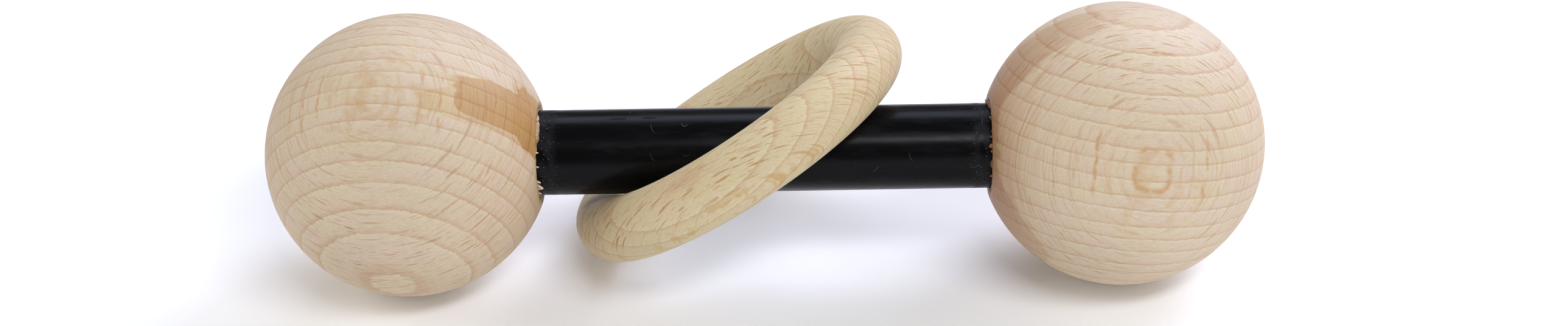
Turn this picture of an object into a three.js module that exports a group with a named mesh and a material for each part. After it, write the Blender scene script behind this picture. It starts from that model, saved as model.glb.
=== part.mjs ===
// A baby's dumbbell rattle: two turned beech balls glued on the ends of a black lacquered
// rod, with one loose beech ring threaded on the rod between them. It lies on a table, and
// the ring leans on the rod.
// Millimetres. X runs along the rod, Y runs to the back, Z is up. The origin is on the
// table, under the middle of the whole toy as it lies.
import * as THREE from 'three'

// Driving dimensions.
const ballRadius = 25
const ballHalfSpacing = 62.8
const endFlatRadius = 3.5
const rodRadius = 7.5
const rodEndChamfer = 1
const rodEndFromBallCentre = 4.3
const socketRadius = 8
const socketBottomFromBallCentre = 3.3
const socketRimRadius = 8.9
const socketRimDepth = 0.7
const glueGap = 0.15
const glueBeadRadius = 8.45
const ringRadius = 28
const ringTubeRadius = 5.9

// How the ring leans: its plane falls this steeply, towards this direction from +X.
const ringLean = THREE.MathUtils.degToRad(35.8)
const ringTurn = THREE.MathUtils.degToRad(155.4)
// The ring's centre, along the rod from its middle and behind the rod's axis. The ring then
// crosses over the rod in front and under it behind, with 0.25 mm to spare at both.
const ringAlong = -4.9
const ringBehind = 9.07
const ringHeight = ringTubeRadius + ringRadius * Math.sin(ringLean)

// Fineness of the round surfaces.
const turnSteps = 48
const ballProfileSteps = 24
const ringTurnSteps = 72
const ringTubeSteps = 20

// The rod's axis runs in front of the origin by half of what the ring reaches out behind.
const fallToBack = Math.cos(ringLean) * Math.sin(ringTurn)
const ringReachBack = Math.hypot(fallToBack, Math.cos(ringTurn)) * ringRadius + ringTubeRadius
const rodAxisY = (ballRadius - ringBehind - ringReachBack) / 2
const rodAxisZ = ballRadius

const wood = { roughness: 0.62, metalness: 0 }
const finishes = {
  beechBall: { color: 0xc79c70, ...wood },
  beechRing: { color: 0xd9b07c, ...wood },
  blackLacquer: { color: 0x1b1c20, roughness: 0.38, metalness: 0 },
  glue: { color: 0x8a5a33, roughness: 0.35, metalness: 0 },
}

function sphereX(radius) {
  return Math.sqrt(ballRadius ** 2 - radius ** 2)
}

// A solid of revolution. Each point is [radius, place along the axis], and the axis is X.
function turned(points, steps) {
  const profile = points.map(([radius, along]) => new THREE.Vector2(radius, along))
  return new THREE.LatheGeometry(profile, steps).rotateZ(-Math.PI / 2)
}

function part(name, geometry, finish) {
  const mesh = new THREE.Mesh(geometry, new THREE.MeshStandardMaterial(finishes[finish]))
  mesh.name = name
  return mesh
}

// The ball at the rod's +X end, measured from its centre: a flat where it was parted from the
// stock, the sphere, the eased rim of the socket and the socket itself, a blind hole.
function ballGeometry() {
  const startAngle = Math.asin(endFlatRadius / ballRadius)
  const endAngle = Math.PI - Math.asin(socketRimRadius / ballRadius)
  const outline = []
  for (let i = 0; i <= ballProfileSteps; i++) {
    const angle = startAngle + ((endAngle - startAngle) * i) / ballProfileSteps
    outline.push([ballRadius * Math.sin(angle), ballRadius * Math.cos(angle)])
  }
  const rim = -sphereX(socketRimRadius)
  const points = [
    [0, -socketBottomFromBallCentre],
    [socketRadius, -socketBottomFromBallCentre],
    [socketRadius, rim + socketRimDepth],
    ...outline.reverse(),
    [0, sphereX(endFlatRadius)],
  ]
  return turned(points, turnSteps)
}

// The glue left in that socket: a film round the rod, a pool under its end and a small bead
// in the eased rim.
function glueGeometry() {
  const rim = -sphereX(socketRimRadius)
  const inner = rodRadius + glueGap
  const outer = socketRadius - glueGap
  const points = [
    [0, -rodEndFromBallCentre + glueGap],
    [inner, -rodEndFromBallCentre + glueGap],
    [inner, rim - glueGap],
    [glueBeadRadius, rim + glueGap],
    [outer, rim + socketRimDepth],
    [outer, -socketBottomFromBallCentre - glueGap],
    [0, -socketBottomFromBallCentre - glueGap],
  ]
  return turned(points, turnSteps)
}

function rodGeometry() {
  const end = ballHalfSpacing - rodEndFromBallCentre
  const shoulder = end - rodEndChamfer
  const points = [
    [0, -end],
    [rodRadius - rodEndChamfer, -end],
    [rodRadius, -shoulder],
    [rodRadius, shoulder],
    [rodRadius - rodEndChamfer, end],
    [0, end],
  ]
  return turned(points, turnSteps)
}

// The ring lies flat about Z here, and its own mesh turns it into its lean.
function ringGeometry() {
  return new THREE.TorusGeometry(ringRadius, ringTubeRadius, ringTubeSteps, ringTurnSteps)
}

// The dumbbell: everything that is glued together, about the rod's axis.
const dumbbell = new THREE.Group()
dumbbell.position.set(0, rodAxisY, rodAxisZ)
dumbbell.add(part('rod', rodGeometry(), 'blackLacquer'))
for (const [side, turn] of [['left', Math.PI], ['right', 0]]) {
  const end = new THREE.Group()
  end.rotation.z = turn
  const ball = part(`${side}_ball`, ballGeometry(), 'beechBall')
  const glue = part(`${side}_glue_joint`, glueGeometry(), 'glue')
  for (const piece of [ball, glue]) {
    piece.position.x = ballHalfSpacing
    end.add(piece)
  }
  dumbbell.add(end)
}

const ring = part('ring', ringGeometry(), 'beechRing')
ring.position.set(ringAlong, rodAxisY + ringBehind, ringHeight)
ring.rotation.set(0, ringLean, ringTurn, 'ZYX')

const group = new THREE.Group()
group.add(dumbbell, ring)

export default group
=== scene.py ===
import math

import bmesh
import bpy
from mathutils import Matrix, Vector, noise


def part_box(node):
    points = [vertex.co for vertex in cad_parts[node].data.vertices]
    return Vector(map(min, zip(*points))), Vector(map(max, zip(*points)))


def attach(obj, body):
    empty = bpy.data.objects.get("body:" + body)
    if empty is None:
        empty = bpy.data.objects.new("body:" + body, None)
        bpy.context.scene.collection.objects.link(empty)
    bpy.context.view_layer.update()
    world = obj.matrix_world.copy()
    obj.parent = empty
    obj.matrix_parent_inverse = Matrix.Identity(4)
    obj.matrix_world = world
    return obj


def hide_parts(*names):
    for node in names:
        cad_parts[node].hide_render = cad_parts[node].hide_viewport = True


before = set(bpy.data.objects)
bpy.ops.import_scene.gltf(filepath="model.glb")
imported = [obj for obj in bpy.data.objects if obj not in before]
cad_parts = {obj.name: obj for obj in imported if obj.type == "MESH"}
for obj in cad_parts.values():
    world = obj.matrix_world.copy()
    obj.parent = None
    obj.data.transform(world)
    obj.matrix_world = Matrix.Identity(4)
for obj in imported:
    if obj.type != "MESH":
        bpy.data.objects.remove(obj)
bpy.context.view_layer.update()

mm = 0.001


# Shader maths as plain expressions: a Wire is one output socket, and + - * / on it add Math nodes.
class Wire:
    def __init__(self, shader, socket):
        self.shader = shader
        self.socket = socket

    def maths(self, operation, *values):
        return self.shader.node("ShaderNodeMath", {"operation": operation}, values)

    def __add__(self, other):
        return self.maths("ADD", self, other)

    def __sub__(self, other):
        return self.maths("SUBTRACT", self, other)

    def __rsub__(self, other):
        return self.maths("SUBTRACT", other, self)

    def __mul__(self, other):
        return self.maths("MULTIPLY", self, other)

    def __truediv__(self, other):
        return self.maths("DIVIDE", self, other)

    def __pow__(self, other):
        return self.maths("POWER", self, other)

    __radd__ = __add__
    __rmul__ = __mul__

    def abs(self):
        return self.maths("ABSOLUTE", self)

    def fract(self):
        return self.maths("FRACT", self)

    def most(self, other):
        return self.maths("MAXIMUM", self, other)

    # 0 at low, 1 at high, and a soft step between them
    def step(self, low, high):
        values = {"Value": self, "From Min": low, "From Max": high}
        return self.shader.node("ShaderNodeMapRange", {"interpolation_type": "SMOOTHSTEP"}, values)


class Shader:
    def __init__(self, name):
        self.material = bpy.data.materials.new(name)
        self.material.use_nodes = True
        self.tree = self.material.node_tree
        self.surface = self.tree.nodes["Principled BSDF"]

    # any node: its type, its settings, the values or wires of its sockets, and which outputs to give
    def node(self, kind, settings=None, values=(), out=(0,)):
        made = self.tree.nodes.new(kind)
        for key, value in (settings or {}).items():
            if key == "stops":
                self.setStops(made.color_ramp, value)
            else:
                setattr(made, key, value)
        self.feed(made, values.items() if isinstance(values, dict) else enumerate(values))
        wires = [Wire(self, made.outputs[key]) for key in out]
        return wires[0] if len(wires) == 1 else wires

    def feed(self, node, pairs):
        for key, value in pairs:
            if isinstance(value, Wire):
                self.tree.links.new(value.socket, node.inputs[key])
            else:
                node.inputs[key].default_value = value

    def setStops(self, ramp, stops):
        while len(ramp.elements) < len(stops):
            ramp.elements.new(1.0)
        for element, (place, level) in zip(ramp.elements, stops):
            element.position = place
            element.color = (level, level, level, 1)

    def vector(self, operation, *values, out=0):
        return self.node("ShaderNodeVectorMath", {"operation": operation}, values, (out,))

    def split(self, point):
        return self.node("ShaderNodeSeparateXYZ", {}, (point,), (0, 1, 2))

    def join(self, x, y, z):
        return self.node("ShaderNodeCombineXYZ", {}, (x, y, z))

    def mix(self, share, first, second, blend="MIX"):
        settings = {"data_type": "RGBA", "blend_type": blend}
        return self.node("ShaderNodeMix", settings, {0: share, 6: first, 7: second}, (2,))

    # smooth noise, 0 to 1, with features about as long as size, one number or one for each axis
    def cloud(self, point, size, detail=2.0, seed=0.0):
        sizes = size if isinstance(size, tuple) else (size, size, size)
        moved = self.vector("ADD", self.vector("DIVIDE", point, sizes), (seed, seed, seed))
        return self.node("ShaderNodeTexNoise", {}, {"Vector": moved, "Scale": 1.0, "Detail": detail})

    # one point in each cell of a pattern: the way to the nearest one, and two random levels of it
    def nearest(self, point, cell):
        stretched = self.vector("DIVIDE", point, cell)
        values = {"Vector": stretched, "Scale": 1.0}
        chance, seed = self.node("ShaderNodeTexVoronoi", {}, values, ("Color", "Position"))
        away = self.vector("MULTIPLY", self.vector("SUBTRACT", stretched, seed), cell)
        first, second, _ = self.split(chance)
        return away, first, second

    # the piece's own place, centred and turned, in millimetres
    def place(self, centre, turn=(0, 0, 0)):
        there = self.node("ShaderNodeTexCoord", {}, {}, ("Object",))
        values = {"Vector": there, "Location": centre, "Rotation": turn, "Scale": (mm, mm, mm)}
        return self.node("ShaderNodeMapping", {"vector_type": "TEXTURE"}, values)

    def bump(self, height, depth, strength=1.0):
        values = {"Height": height, "Distance": depth, "Strength": strength}
        return self.node("ShaderNodeBump", {}, values)

    # values that are the same all over stay on the surface's own sockets, with no node
    def finish(self, values):
        self.feed(self.surface, values.items())
        return self.material


def axesTurn(fibre, bark):
    return Matrix((fibre, bark.cross(fibre), bark)).transposed().to_euler()


# How the beech was cut for a ball. The way from heart to bark rises this many degrees from the
# front and swings this far to the right, and the fibres are then turned about it.
def woodTurn(cut):
    rise, swing, twist = (math.radians(cut[key]) for key in ("rise", "swing", "twist"))
    front = Vector((0, -math.cos(rise), math.sin(rise)))
    bark = front * math.cos(swing) + Vector((math.sin(swing), 0, 0))
    fibre = (Vector((1, 0, 0)) - bark * bark.x).normalized()
    return axesTurn(Matrix.Rotation(twist, 3, bark) @ fibre, bark)


# The year of growth that a depth falls in: each year is one rise of the ramp, and good and poor
# years come and go about the cut's usual width in mm.
def yearCount(shader, depth, cut):
    edges = [cut["firstYear"]]
    total = cut["years"]
    for index in range(total):
        edges.append(edges[-1] + cut["yearWidth"] * (1 + 0.14 * math.sin(index * 2.4)))
    span = edges[-1] - edges[0]
    stops = [((edge - edges[0]) / span, index / total) for index, edge in enumerate(edges)]
    return shader.node("ShaderNodeValToRGB", {"stops": stops}, ((depth - edges[0]) / span,)) * total


# Rays are thin ribbons from heart to bark, and a cut across them shows lenses.
def rays(shader, place, size):
    away, first, second = shader.nearest(place, size["cell"])
    along, across, _ = shader.split(away)
    length = size["halfLength"] * (0.35 + first * 0.9)
    thick = size["halfThick"] * (0.4 + second)
    return 1 - ((along / length) ** 2.0 + (across / thick).abs()).step(0.25, 1.2)


beech = {
    "pink": (0.640, 0.512, 0.378, 1),
    "yellow": (0.630, 0.522, 0.352, 1),
    "late": (0.500, 0.290, 0.155, 1),
    "early": (0.745, 0.665, 0.485, 1),
    "rayOnBark": (0.470, 0.265, 0.128, 1),
    "rayOnFleck": (0.540, 0.325, 0.145, 1),
    "fleck": (0.550, 0.360, 0.160, 1),
    "broadRays": {"cell": (6.0, 1.8, 24.0), "halfLength": 2.4, "halfThick": 0.17},
    "thinRays": {"cell": (3.8, 0.95, 17.0), "halfLength": 1.6, "halfThick": 0.09},
    "fineRays": {"cell": (1.5, 0.42, 9.0), "halfLength": 0.6, "halfThick": 0.06},
    "bumpDepth": 0.09 * mm,
    "bumpStrength": 0.45,
}

# How long each unevenness of the wood is, in mm: along the fibres, across them, heart to bark.
grainSizes = {
    "sway": (24, 9, 9), "wave": (4, 1.8, 1.8), "fray": (1.3, 0.35, 0.35), "warm": (9, 2.6, 3.4),
    "goodYears": (12, 6, 6), "rayPatch": (16, 9, 30), "hair": (1.5, 0.15, 0.15),
    "pores": (3.5, 0.13, 0.13), "thread": (5, 0.20, 12), "figure": (3.2, 1.4, 2.6),
    "ripple": (0.35, 1.4, 6),
}

# How strongly each mark shows, from 0 to 1.
grainShares = {
    "late": 0.20, "line": 0.42, "early": 0.28, "broadRays": 1.0, "thinRays": 0.78, "fineRays": 0.36,
    "pale": 0.42, "dark": 0.15, "thread": 0.46, "pores": 0.28, "endGrain": 0.12,
}


# The growth of each year: a pale early band, a slow darkening and a fine dark line at its end.
def growthColour(shader, place, year, colour):
    strength = shader.cloud(place, grainSizes["goodYears"], 2, 5).step(0.2, 0.65) * 0.45 + 0.55
    late = year.step(0.2, 1.0) ** 2.0
    line = year.step(0.80, 0.97)
    share = (late * grainShares["late"] + line * grainShares["line"]) * strength
    colour = shader.mix(share, colour, beech["late"])
    early = (1 - year.step(0.03, 0.24)) * year.step(0.0, 0.02) * strength
    return shader.mix(early * grainShares["early"], colour, beech["early"]), line


# Rays show as dashes on the bark face, lines on the end grain and softer flecks on the third face.
def rayColour(shader, place, bent, fleckFace, cut, colour):
    broad, thin, fine = (rays(shader, bent, beech[key]) for key in ("broadRays", "thinRays", "fineRays"))
    tone = shader.mix(fleckFace.step(0.84, 0.99), beech["rayOnBark"], beech["rayOnFleck"])
    patch = shader.cloud(place, grainSizes["rayPatch"], 2, 33).step(0.3, 0.6) * 0.6 + 0.4
    slanting = fleckFace.step(0.50, 0.90)
    broad = broad * patch * grainShares["broadRays"]
    shown = broad.most(thin * grainShares["thinRays"] * patch).most(fine * grainShares["fineRays"])
    shown = shown * (1 - slanting * 0.4) * cut["rayShare"]
    return shader.mix(shown, colour, tone), shown


# Beech all through the piece. place is along the fibres, across them and from heart to bark, and
# face is the surface's direction in the same axes. Gives the colour and the grain's bumps.
def beechWood(shader, place, face, cut):
    sway = shader.cloud(place, grainSizes["sway"], 2, 3) - 0.5
    wave = shader.cloud(place, grainSizes["wave"], 2, 8) - 0.5
    fray = shader.cloud(place, grainSizes["fray"], 2, 12) - 0.5
    along, across, depth = shader.split(place)
    bent = shader.join(along, across + depth * cut["rayLean"] + sway * 1.4 + wave * 0.3, depth)
    curved = depth + across * across * cut["curve"]
    year = yearCount(shader, curved + sway * 0.45 + wave * 0.5 + fray * 0.5, cut).fract()
    endFace, fleckFace, _ = shader.split(shader.vector("ABSOLUTE", face))

    warm = shader.cloud(place, grainSizes["warm"], 4, 21).step(0.34, 0.66)
    colour = shader.mix(warm, beech["pink"], beech["yellow"])
    colour, line = growthColour(shader, place, year, colour)
    colour, shown = rayColour(shader, place, bent, fleckFace, cut, colour)

    # the sheen of split fibres: pale and dark flecks as long as a few cells, and lines on end grain
    hair = shader.cloud(place, grainSizes["hair"], 3, 41)
    pale = hair.step(0.54, 0.70)
    dark = 1 - hair.step(0.32, 0.47)
    pores = shader.cloud(place, grainSizes["pores"], 2, 44).step(0.62, 0.74)
    thread = shader.cloud(place, grainSizes["thread"], 2, 47).step(0.50, 0.68) * endFace.step(0.35, 0.85)
    colour = shader.mix(pale * grainShares["pale"], colour, beech["early"])
    share = dark * grainShares["dark"] + thread * grainShares["thread"] + pores * grainShares["pores"]
    colour = shader.mix(share, colour, beech["late"])
    figure = shader.cloud(place, grainSizes["figure"], 3, 51).step(0.50, 0.64) * fleckFace.step(0.84, 0.99)
    ripple = shader.cloud(place, grainSizes["ripple"], 2, 54).step(0.35, 0.7)
    colour = shader.mix(figure * (0.25 + ripple * 0.35) * cut["figure"], colour, beech["fleck"])
    colour = shader.mix(endFace.step(0.55, 1.0) * grainShares["endGrain"], colour, beech["late"])
    height = hair * 0.6 - shown * 0.25 - line * 0.2 - pores * 0.4 + wave * 0.2
    return colour, shader.bump(height, beech["bumpDepth"], beech["bumpStrength"])


# Rings that a ray leaves round the point where the surface runs flat to it: radius, width, strength.
def fleckRings(shader, place, colour, rings, middle):
    along, across, depth = shader.split(shader.vector("SUBTRACT", place, middle))
    wander = shader.cloud(place, (2.2, 2.2, 2.2), 3, 61) - 0.5
    squarish = (along.abs() ** 3.0 + (depth * 0.86).abs() ** 3.0) ** (1 / 3)
    reach = squarish + wander * 1.3
    shown = 0
    for index, (radius, width, strength) in enumerate(rings):
        broken = shader.cloud(place, (2.4, 2.4, 2.0), 2, 71 + index * 5).step(0.30, 0.60)
        shown = shown + (1 - (reach - radius).abs().step(0, width)) * broken * strength
    # they lie on the face that the ray is nearest to, and fade above and below
    facing = across.step(-8, -2)
    sides = 1 - depth.abs().step(4.0, 6.5)
    return shader.mix(shown * facing * sides, colour, beech["rayOnFleck"])


# One side of a stain: it reaches this much further out around one direction.
def lobe(around, centre, half, reach):
    return (1 - (around - centre).abs().step(half * 0.45, half)) * reach


# The wood and the stain of each ball. rise, swing and twist are degrees, and depths are mm from the
# ball's middle. A lobe is the middle and the half width of a direction round the rod and how much
# further the stain reaches there, and fade is from where to where it pales and to how much.
# Each stain's darkening next to the rod is partly darker end grain and partly painted shade on the rod's
# side of the ball.
ballCuts = {
    "left": {
        "rise": -34, "swing": -3, "twist": 6, "curve": 0.0025,
        "firstYear": -26.5, "years": 19, "yearWidth": 3.0,
        "rayLean": 0.0, "rayShare": 1.0, "figure": 1.2,
        "fleckAt": (-0.8, 24.0, 0.5),
        "fleckRings": ((3.5, 0.8, 0.35), (5.5, 0.4, 0.35), (9, 0.4, 0.95), (12, 0.4, 0.8), (15, 0.4, 0.7)),
        "stain": {
            "colour": (0.79, 0.60, 0.33, 1), "pale": (0.92, 0.85, 0.68, 1),
            "reach": 20.0, "fade": (18, 60, 0.78), "grainAndShadeShare": 0.0,
            "lobes": ((64, 43, 15), (59, 17, 28)), "paleLobe": (50, 12, 13),
        },
    },
    "right": {
        "rise": -76.5, "swing": -6.5, "twist": -4.5, "curve": 0.0,
        "firstYear": -26.0, "years": 20, "yearWidth": 2.75,
        "rayLean": -0.10, "rayShare": 0.95, "figure": 0.8,
        "fleckAt": (-0.1, 24.8, -3.0),
        "fleckRings": ((3, 0.8, 1.0), (5, 0.4, 0.4), (7, 0.4, 0.5), (9.5, 0.5, 1.1), (12.5, 0.4, 0.6)),
        "stain": {
            "colour": (0.84, 0.73, 0.64, 1), "pale": (0.95, 0.90, 0.86, 1),
            "reach": 26.0, "fade": (20, 75, 0.50), "grainAndShadeShare": 1.0,
            "lobes": ((91, 30, 24), (91, 16, 29), (-78, 85, 30)), "paleLobe": (100, 20, 6),
        },
    },
}
# the colour of the painted shade in the hollow at the socket's rim
rimShade = (0.50, 0.33, 0.20, 1)


# Glue and oil that soaked in round the rod, by the angle from the rod and the angle round it, and
# painted shade at the socket's rim and next to the rod. Gives the colour, and how soaked the wood is.
def soakAndShadeRound(shader, place, centre, radius, side, colour):
    stain = ballCuts[side]["stain"]
    towardsRod = 1 if side == "left" else -1
    x, y, z = shader.split(shader.place(centre))
    degree = 180 / math.pi
    fromRod = x.maths("ARCCOSINE", x * (towardsRod * mm / radius)) * degree
    around = z.maths("ARCTAN2", z, y * -1) * degree
    ragged = (shader.cloud(place, (5, 2.2, 2.2), 4, 13) - 0.5) * 11
    edge = fromRod + ragged
    for centreAngle, half, reach in stain["lobes"]:
        edge = edge - lobe(around, centreAngle, half, reach)
    soaked = 1 - edge.step(stain["reach"] - 0.8, stain["reach"] + 0.8)
    halo = 1 - (edge - lobe(around, *stain["paleLobe"])).step(stain["reach"] + 1, stain["reach"] + 4)
    colour = shader.mix(halo * 0.8, colour, stain["pale"], "MULTIPLY")
    near, far, least = stain["fade"]
    deeper = least + (1 - fromRod.step(near, far)) * (1.05 - least)
    colour = shader.mix(soaked * deeper, colour, stain["colour"], "MULTIPLY")
    # darker next to the rod: partly darker end grain, partly painted shade on the rod's side of the ball
    grainAndShadeNearRod = 1 - fromRod.step(20, 52)
    colour = shader.mix(grainAndShadeNearRod * stain["grainAndShadeShare"], colour, stain["colour"], "MULTIPLY")
    # painted shade in the hollow at the socket's rim
    rim = 1 - fromRod.step(20.6, 22.0)
    return shader.mix(rim * 0.7, colour, rimShade, "MULTIPLY"), soaked


def ballMaterial(side, centre, radius):
    cut = ballCuts[side]
    shader = Shader("beech_" + side + "_ball")
    place = shader.place(centre, woodTurn(cut))
    face = shader.vector("DIVIDE", place, (radius / mm,) * 3)
    colour, bumps = beechWood(shader, place, face, cut)
    colour = fleckRings(shader, place, colour, cut["fleckRings"], cut["fleckAt"])
    colour, soaked = soakAndShadeRound(shader, place, centre, radius, side, colour)
    return shader.finish({"Base Color": colour, "Roughness": 0.62 - soaked * 0.12, "Normal": bumps})


# lean is how steeply the ring's plane falls, and turn the direction it falls to, both in degrees.
ringDims = {
    "radius": 28 * mm, "tube": 5.9 * mm, "lean": 35.8, "turn": 155.4, "steps": (256, 64),
    "fibre": (0.80, 0.05, 0.60), "bark": (-0.54, -0.40, 0.74), "curve": 0.0,
    "firstYear": -35.0, "years": 25, "yearWidth": 2.9,
    "rayLean": 0.0, "rayShare": 1.35, "figure": 2.2,
    "tint": (0.985, 1.0, 0.855, 1), "roughness": 0.58,
}


def ringMaterial(centre, axis):
    shader = Shader("beech_ring")
    fibre = Vector(ringDims["fibre"]).normalized()
    bark = Vector(ringDims["bark"])
    bark = (bark - fibre * bark.dot(fibre)).normalized()
    turn = axesTurn(fibre, bark)
    place = shader.place(centre, turn)
    # the ring's own direction outwards from the middle of its tube
    woodAxis = turn.to_matrix().transposed() @ axis
    rise = shader.vector("DOT_PRODUCT", place, woodAxis, out="Value")
    lifted = shader.vector("MULTIPLY", shader.join(rise, rise, rise), woodAxis)
    flat = shader.vector("SUBTRACT", place, lifted)
    spoke = shader.vector("NORMALIZE", flat)
    middle = shader.vector("MULTIPLY", spoke, (ringDims["radius"] / mm,) * 3)
    face = shader.vector("DIVIDE", shader.vector("SUBTRACT", place, middle), (ringDims["tube"] / mm,) * 3)
    colour, bumps = beechWood(shader, place, face, ringDims)
    colour = shader.mix(1.0, colour, ringDims["tint"], "MULTIPLY")
    return shader.finish({"Base Color": colour, "Roughness": ringDims["roughness"], "Normal": bumps})


rodFinish = {
    "black": (0.0022, 0.0022, 0.0026, 1),
    "scuffed": (0.016, 0.016, 0.018, 1),
    "dust": (0.20, 0.19, 0.18, 1),
    "roughness": 0.25,
    "shine": 0.11,
    "bumpDepth": 0.07 * mm,
    "wornFromRim": 1.6,
}


# Ragged motes of dust all over, and finer crumbs near the joints. band is how far from the worn
# band at each end a point is, in mm.
def dustOn(shader, place, band):
    away, chance, size = shader.nearest(place, (2.6, 2.6, 2.6))
    ragged = shader.cloud(place, 0.14, 2, 37) * 0.22
    reach = shader.vector("LENGTH", away, out="Value") + ragged
    motes = (1 - reach.step(0.10, 0.26)) * (size + chance - 1).step(0.18, 0.3)
    crumbAway, crumbChance, _ = shader.nearest(place, (0.42, 0.42, 0.42))
    crumbs = 1 - shader.vector("LENGTH", crumbAway, out="Value").step(0.04, 0.11)
    crumbs = crumbs * (1 - band.step(0.8, 3.0))
    return motes.most(crumbs * crumbChance.step(0.60, 0.75))


# Short curved scratches, each turned its own way.
def scratchesOn(shader, place):
    away, turnChance, chance = shader.nearest(place, (4.5, 3.5, 3.5))
    x, y, z = shader.split(away)
    turn = turnChance * math.pi
    cos, sin = turn.maths("COSINE", turn), turn.maths("SINE", turn)
    along = x * cos + z * sin
    across = z * cos - x * sin + along * along * (turnChance * 1.4 - 0.5)
    line = (1 - across.abs().step(0.015, 0.055)) * (1 - along.abs().step(0.5, 0.9))
    return line * (1 - y.abs().step(0.8, 1.3)) * chance.step(0.66, 0.90)


# Short dents along the rod, on its top near the left ball.
def dentsOn(shader, place, x, z):
    away, chance, _ = shader.nearest(place, (6, 1.6, 1.6))
    along, across, up = shader.split(away)
    dent = 1 - ((along / 1.7) ** 2.0 + (across / 0.22).abs() + (up / 0.4) ** 2.0).step(0.2, 1.0)
    return dent * (x + 26).abs().step(10, 4) * z.step(2.5, 4.5) * chance.step(0.3, 0.4)


def rodMaterial(centre, halfVisible):
    shader = Shader("black_lacquer")
    place = shader.place(centre)
    x, _, z = shader.split(place)
    scuff = shader.cloud(place, (6, 1.2, 1.2), 4, 2).step(0.42, 0.75)
    band = (x.abs() - (halfVisible / mm - rodFinish["wornFromRim"])).abs()
    worn = (1 - band.step(0.6, 2.2)) * shader.cloud(place, (1.5, 2.5, 2.5), 4, 17).step(0.3, 0.65)
    dust = dustOn(shader, place, band)
    scratches = scratchesOn(shader, place)
    colour = shader.mix(scuff * 0.14 + worn * 0.5, rodFinish["black"], rodFinish["scuffed"])
    colour = shader.mix((dust * 0.8).most(scratches * 0.30), colour, rodFinish["dust"])
    grain = shader.cloud(place, (22, 0.5, 0.5), 3, 4)
    lumps = shader.cloud(place, (9, 2.5, 2.5), 2, 6)
    dents = dentsOn(shader, place, x, z)
    height = grain * 0.18 + lumps * 0.6 + dust * 0.5 - scratches * 0.3 - dents * 1.4
    return shader.finish({
        "Base Color": colour,
        "Roughness": rodFinish["roughness"] + scuff * 0.10 + worn * 0.2,
        "Normal": shader.bump(height, rodFinish["bumpDepth"], 0.5),
        "Specular IOR Level": rodFinish["shine"],
    })


# The thin edge and the full bead of each side's glue.
glueTones = {
    "left": ((0.26, 0.13, 0.055, 1), (0.58, 0.40, 0.21, 1)),
    "right": ((0.11, 0.040, 0.018, 1), (0.30, 0.135, 0.060, 1)),
}


def glueMaterial(side, centre):
    shader = Shader("dried_glue_" + side)
    thin, full = glueTones[side]
    place = shader.place(centre)
    thick = shader.cloud(place, 1.1, 3, 1).step(0.3, 0.7)
    colour = shader.mix(thick, thin, full)
    height = shader.cloud(place, 0.5, 3, 7)
    return shader.finish({
        "Base Color": colour,
        "Roughness": 0.28 + thick * 0.15,
        "Normal": shader.bump(height, 0.08 * mm, 0.6),
    })


# A row of points drawn on from a vertex, each (along x, radius) in metres.
def drawOn(bm, vertex, points):
    for along, radius in points:
        made = bmesh.ops.extrude_vert_indiv(bm, verts=[vertex])["verts"]
        made[0].co = (along, 0, radius)
        vertex = made[0]
    return vertex


def turnOutline(bm, steps):
    bmesh.ops.spin(bm, geom=bm.verts[:] + bm.edges[:], cent=(0, 0, 0), axis=(1, 0, 0),
                   angle=2 * math.pi, steps=steps, use_merge=True)
    closeUp(bm)


def closeUp(bm):
    bmesh.ops.remove_doubles(bm, verts=bm.verts[:], dist=1e-6)
    bmesh.ops.dissolve_degenerate(bm, edges=bm.edges[:], dist=1e-7)
    bmesh.ops.recalc_face_normals(bm, faces=bm.faces[:])


def addPiece(bm, name, node, body, material, sharp=40):
    mesh = bpy.data.meshes.new(name)
    bm.to_mesh(mesh)
    bm.free()
    mesh.shade_smooth()
    mesh.set_sharp_from_angle(angle=math.radians(sharp))
    mesh.materials.append(material)
    piece = bpy.data.objects.new(name, mesh)
    bpy.context.scene.collection.objects.link(piece)
    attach(piece, body)
    if node:
        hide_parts(node)
    return piece


ballDims = {
    "endFlat": 3.5 * mm, "socket": 8 * mm, "rimRound": 0.9 * mm, "rimRadius": 8.9 * mm,
    "socketBottom": 3.3 * mm, "profileSteps": 120, "lipSteps": 8, "turnSteps": 200,
}


# The ball's middle, from its node's box: the box ends at the end flat and at the socket's rim.
def ballCentre(side):
    low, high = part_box(side + "_ball")
    radius = (high.z - low.z) / 2
    outwards = -1 if side == "left" else 1
    flat = high.x if side == "right" else low.x
    across = math.sqrt(radius ** 2 - ballDims["endFlat"] ** 2)
    return Vector((flat - outwards * across, (low.y + high.y) / 2, (low.z + high.z) / 2)), radius, outwards


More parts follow.
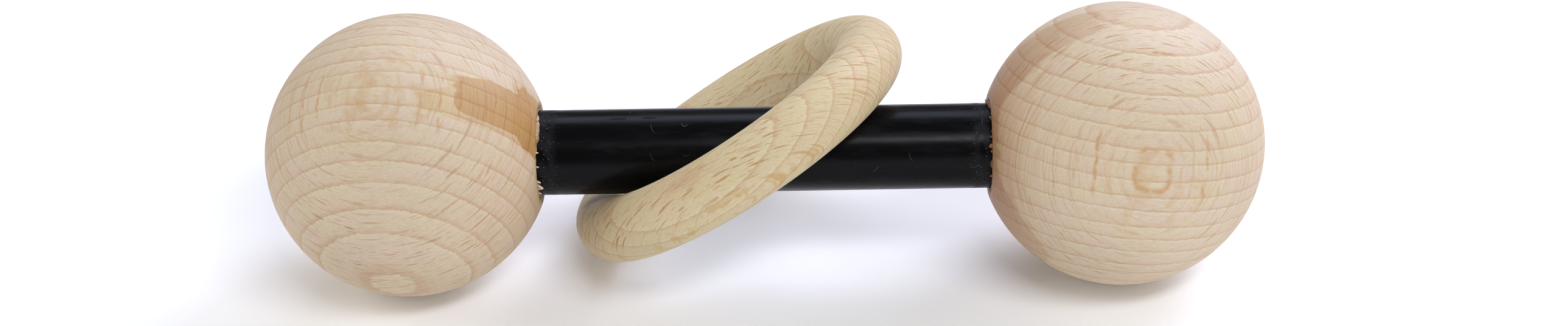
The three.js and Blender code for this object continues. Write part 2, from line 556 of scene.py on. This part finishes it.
# Drawn with the end flat towards +X, then turned on the lathe, and the left one is swung round.
def makeBall(side):
    centre, radius, outwards = ballCentre(side)
    bore, lipRadius = ballDims["socket"], ballDims["rimRound"]
    roundUp = bore + lipRadius
    roundAlong = -math.sqrt((radius - lipRadius) ** 2 - roundUp ** 2)
    start = math.asin(ballDims["endFlat"] / radius)
    end = math.atan2(roundUp, roundAlong)
    bm = bmesh.new()
    first = bm.verts.new((radius * math.cos(start), 0, radius * math.sin(start)))
    arc = bmesh.ops.spin(bm, geom=[first], cent=(0, 0, 0), axis=(0, -1, 0), angle=end - start,
                         steps=ballDims["profileSteps"])
    rim = [v for v in arc["geom_last"] if isinstance(v, bmesh.types.BMVert)]
    lip = bmesh.ops.spin(bm, geom=rim, cent=(roundAlong, 0, roundUp), axis=(0, -1, 0),
                         angle=1.5 * math.pi - end, steps=ballDims["lipSteps"])
    last = [v for v in lip["geom_last"] if isinstance(v, bmesh.types.BMVert)][0]
    bottom = -ballDims["socketBottom"]
    drawOn(bm, last, [(bottom, bore), (bottom, 0)])
    drawOn(bm, first, [(radius * math.cos(start), 0)])
    turnOutline(bm, ballDims["turnSteps"])
    if outwards < 0:
        bmesh.ops.rotate(bm, verts=bm.verts[:], cent=(0, 0, 0), matrix=Matrix.Rotation(math.pi, 3, "Z"))
    bmesh.ops.translate(bm, verts=bm.verts[:], vec=centre)
    material = ballMaterial(side, centre, radius)
    addPiece(bm, "turned_ball_" + side, side + "_ball", "dumbbell", material)
    print("ball", side, "turned")


rodDims = {"chamfer": 1 * mm, "steps": 128, "rimFromBallCentre": 23.3 * mm}


def makeRod():
    low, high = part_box("rod")
    centre = (low + high) / 2
    radius, half = (high.z - low.z) / 2, (high.x - low.x) / 2
    cut = rodDims["chamfer"]
    bm = bmesh.new()
    first = bm.verts.new((-half, 0, 0))
    drawOn(bm, first, [(-half, radius - cut), (cut - half, radius), (half - cut, radius),
                       (half, radius - cut), (half, 0)])
    turnOutline(bm, rodDims["steps"])
    bmesh.ops.translate(bm, verts=bm.verts[:], vec=centre)
    rightBall = ballCentre("right")[0].x
    visible = rightBall - centre.x - rodDims["rimFromBallCentre"]
    addPiece(bm, "lacquered_rod", "rod", "dumbbell", rodMaterial(centre, visible))
    print("rod turned")


def makeRing():
    low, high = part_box("ring")
    centre = (low + high) / 2
    around, across = ringDims["steps"]
    bm = bmesh.new()
    section = bmesh.ops.create_circle(bm, segments=across, radius=ringDims["tube"],
                                      matrix=Matrix.Rotation(math.pi / 2, 4, "X"))["verts"]
    bmesh.ops.translate(bm, verts=section, vec=(ringDims["radius"], 0, 0))
    bmesh.ops.spin(bm, geom=bm.verts[:] + bm.edges[:], cent=(0, 0, 0), axis=(0, 0, 1),
                   angle=2 * math.pi, steps=around, use_merge=True)
    closeUp(bm)
    lean = Matrix.Rotation(math.radians(ringDims["lean"]), 3, "Y")
    turn = Matrix.Rotation(math.radians(ringDims["turn"]), 3, "Z") @ lean
    bmesh.ops.rotate(bm, verts=bm.verts[:], cent=(0, 0, 0), matrix=turn)
    bmesh.ops.translate(bm, verts=bm.verts[:], vec=centre)
    material = ringMaterial(centre, turn @ Vector((0, 0, 1)))
    addPiece(bm, "loose_beech_ring", "ring", "loose_ring", material)
    print("ring turned")


# The glue that fills the socket round the rod, and its bead at the rim. The bead swells where the
# glue came out most: angle round the rod from the front, half width in degrees, and how much.
glueDims = {
    "inner": 7.55 * mm, "outer": 7.9 * mm, "bead": 0.42 * mm, "rim": 23.0 * mm, "bottom": 4.2 * mm,
    "pool": 0.5 * mm, "neck": 0.6 * mm, "beadSteps": 8, "turnSteps": 160,
    "usual": 0.38, "least": 0.3, "unevenness": 0.7, "lumpDegrees": 9,
    "swells": {
        "left": ((118, 32, 1.5), (-64, 22, 0.7)),
        "right": ((112, 30, 1.7), (6, 7, 1.2), (-72, 20, 0.8)),
    },
}


def beadGrowth(side, vert, outwards):
    around = math.degrees(math.atan2(vert.co.z, -vert.co.y))
    lump = noise.noise(Vector((around / glueDims["lumpDegrees"], 0, outwards)))
    grow = glueDims["usual"] + lump * glueDims["unevenness"]
    for middle, half, swell in glueDims["swells"][side]:
        grow += swell * max(0, 1 - (around - middle) ** 2 / half ** 2)
    return max(glueDims["least"], grow)


def makeGlue(side):
    centre, _, outwards = ballCentre(side)
    inner, outer, rim, bottom = (glueDims[key] for key in ("inner", "outer", "rim", "bottom"))
    neck, pool, size, steps = (glueDims[key] for key in ("neck", "pool", "bead", "beadSteps"))
    bm = bmesh.new()
    first = bm.verts.new((-bottom, 0, 0))
    beadMiddle = (inner + outer) / 2
    points = [(-bottom, inner), (neck - rim, inner)]
    for index in range(steps + 1):
        angle = math.pi * (1.5 - index / steps)
        points.append((size * math.cos(angle) - rim, beadMiddle + size * 0.5 * math.sin(angle)))
    points += [(neck - rim, outer), (pool - bottom, outer), (pool - bottom, 0)]
    drawOn(bm, first, points)
    turnOutline(bm, glueDims["turnSteps"])
    for vert in bm.verts:
        if vert.co.x < neck / 2 - rim:
            grow = beadGrowth(side, vert, outwards)
            radial = Vector((0, vert.co.y, vert.co.z))
            lift = max(0, radial.length - inner)
            along = -rim + (vert.co.x + rim) * grow
            vert.co = radial.normalized() * (inner + lift * grow) + Vector((along, 0, 0))
    if outwards < 0:
        bmesh.ops.rotate(bm, verts=bm.verts[:], cent=(0, 0, 0), matrix=Matrix.Rotation(math.pi, 3, "Z"))
    bmesh.ops.translate(bm, verts=bm.verts[:], vec=centre)
    material = glueMaterial(side, centre)
    addPiece(bm, "squeezed_glue_" + side, side + "_glue_joint", "dumbbell", material, 70)
    print("glue", side, "laid")


# Small things at the rims: chips of wood on the left one, crumbs of glue on the right one. Each is
# an angle round the rod from the front, then a length and a thickness in mm from its middle, which
# fatness and longness scale.
rimBits = {
    "left": (
        (-6, 0.45, 0.14), (-12, 0.85, 0.20), (-17, 0.60, 0.16), (-25, 0.40, 0.12),
        (14, 0.35, 0.11), (31, 0.28, 0.10), (52, 0.32, 0.12), (74, 0.30, 0.12),
    ),
    "right": ((30, 0.42, 0.30), (24, 0.25, 0.16), (41, 0.22, 0.15), (-8, 0.24, 0.14), (66, 0.25, 0.17)),
    "fatness": 1.5, "longness": 1.4, "raggedness": 0.35, "lumpsPerMetre": 3000,
    "fromBallCentre": 23.35 * mm, "insideRim": 0.5 * mm,
}


def makeRimBits(side, name, material):
    centre, _, outwards = ballCentre(side)
    rim = ballDims["rimRadius"] - rimBits["insideRim"]
    rodWay = -outwards
    middle = Vector((centre.x + rodWay * rimBits["fromBallCentre"], centre.y, centre.z))
    bm = bmesh.new()
    for index, (degrees, length, thick) in enumerate(rimBits[side]):
        halfThick, halfLength = thick * rimBits["fatness"], length * rimBits["longness"]
        angle = math.radians(degrees)
        spoke = Vector((0, -math.cos(angle), math.sin(angle)))
        lean = (Vector((rodWay, 0, 0)) + spoke * (0.5 + 0.5 * math.sin(index * 2.3))).normalized()
        bit = bmesh.ops.create_icosphere(bm, subdivisions=2, radius=mm)["verts"]
        bmesh.ops.scale(bm, verts=bit, vec=(halfThick, halfThick, halfLength))
        for vert in bit:
            lump = noise.noise(vert.co * rimBits["lumpsPerMetre"] + Vector((index * 7, 0, 0)))
            vert.co *= 1 + rimBits["raggedness"] * lump
        bmesh.ops.rotate(bm, verts=bit, cent=(0, 0, 0), matrix=lean.to_track_quat("Z", "Y").to_matrix())
        bmesh.ops.translate(bm, verts=bit, vec=middle + spoke * rim)
    closeUp(bm)
    addPiece(bm, name, None, "dumbbell", material, 60)
    print("rim bits", side, "set")


def chipMaterial():
    shader = Shader("torn_beech")
    place = shader.place((0, 0, 0))
    tone = shader.cloud(place, (0.6, 0.15, 0.15), 3, 2).step(0.35, 0.65)
    colour = shader.mix(tone, (0.60, 0.46, 0.27, 1), (0.82, 0.74, 0.55, 1))
    bumps = shader.bump(tone, 0.04 * mm, 0.5)
    return shader.finish({"Base Color": colour, "Roughness": 0.7, "Normal": bumps})


makeBall("left")
makeBall("right")
makeRod()
makeRing()
makeGlue("left")
makeGlue("right")
makeRimBits("left", "rim_splinters_left", chipMaterial())
makeRimBits("right", "glue_crumbs_right", glueMaterial("right", ballCentre("right")[0]))


# The camera looks at the toy from the front and above. away, above and right are metres from the
# rod's middle, and down and the small turns are degrees.
view = {
    "lens": 55.9, "away": 0.368, "above": 0.2221, "right": 0.0057,
    "down": 30, "yaw": 0.31, "pitch": -1.45, "roll": 0.97,
}


def setCamera():
    low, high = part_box("rod")
    axis = (low + high) / 2
    data = bpy.data.cameras.new("camera")
    data.lens = view["lens"]
    data.clip_start = 0.01
    camera = bpy.data.objects.new("camera", data)
    bpy.context.scene.collection.objects.link(camera)
    turn = Matrix.Rotation(math.radians(-view["down"]), 4, "X")
    turn @= Matrix.Rotation(math.radians(view["yaw"]), 4, "Z")
    turn @= Matrix.Rotation(math.radians(view["pitch"]), 4, "X")
    turn @= Matrix.Rotation(math.radians(view["roll"]), 4, "Y")
    turn @= Matrix.Rotation(math.pi / 2, 4, "X")
    spot = axis + Vector((view["right"], -view["away"], view["above"]))
    camera.matrix_world = Matrix.Translation(spot) @ turn
    bpy.context.scene.camera = camera


def addLight(name, spot, target, size, power, colour):
    data = bpy.data.lights.new(name, "AREA")
    data.shape = "RECTANGLE"
    data.size, data.size_y = size
    data.energy = power
    data.color = colour
    lamp = bpy.data.objects.new(name, data)
    bpy.context.scene.collection.objects.link(lamp)
    lamp.location = spot
    lamp.rotation_euler = (Vector(target) - Vector(spot)).to_track_quat("-Z", "Y").to_euler()


# name, place, size, watts and tint of each softbox. The strip makes the highlight along the rod.
lamps = (
    ("strip", (0.24, -0.45, 0.66), (0.45, 0.14), 2.8, (0.98, 1.0, 1.08)),
    ("left", (-0.75, -0.05, 0.45), (0.5, 0.5), 2.4, (1.0, 0.98, 0.94)),
    ("back", (0.1, 0.45, 0.65), (0.8, 0.3), 2.1, (0.94, 1.0, 1.27)),
    ("right", (0.55, -0.5, 0.4), (0.4, 0.4), 1.3, (1.0, 1.0, 1.0)),
    ("frontLeft", (-0.55, -0.5, 0.4), (0.4, 0.4), 0.2, (1.0, 0.98, 0.94)),
    ("backRight", (0.55, 0.5, 0.5), (0.5, 0.5), 3.9, (0.94, 1.0, 1.27)),
)


stageLook = {
    "floorHalf": 3, "floorTones": ((0.93, 0.93, 0.93, 1), (0.95, 0.95, 0.95, 1)), "floorGlow": 0.07,
    "skyStrength": 0.18, "lampsAimAt": (0, 0, 0.03),
}


def setStage():
    floor = bmesh.new()
    bmesh.ops.create_grid(floor, x_segments=1, y_segments=1, size=stageLook["floorHalf"])
    mesh = bpy.data.meshes.new("pale_floor")
    floor.to_mesh(mesh)
    floor.free()
    shader = Shader("pale_floor")
    tint = shader.cloud(shader.place((0, 0, 0)), 60, 3, 1)
    colour = shader.mix(tint, *stageLook["floorTones"])
    mesh.materials.append(shader.finish({
        "Base Color": colour,
        "Roughness": 0.8,
        "Emission Color": (1, 1, 1, 1),
        "Emission Strength": stageLook["floorGlow"],
    }))
    stage = bpy.data.objects.new("pale_floor", mesh)
    bpy.context.scene.collection.objects.link(stage)

    world = bpy.data.worlds.new("studio")
    bpy.context.scene.world = world
    world.use_nodes = True
    back = world.node_tree.nodes["Background"]
    back.inputs["Color"].default_value = (1, 1, 1, 1)
    back.inputs["Strength"].default_value = stageLook["skyStrength"]
    for name, spot, size, power, tint in lamps:
        addLight(name, spot, stageLook["lampsAimAt"], size, power, tint)
    bpy.context.scene.view_settings.view_transform = "Standard"


setCamera()
setStage()
print("camera and studio set")
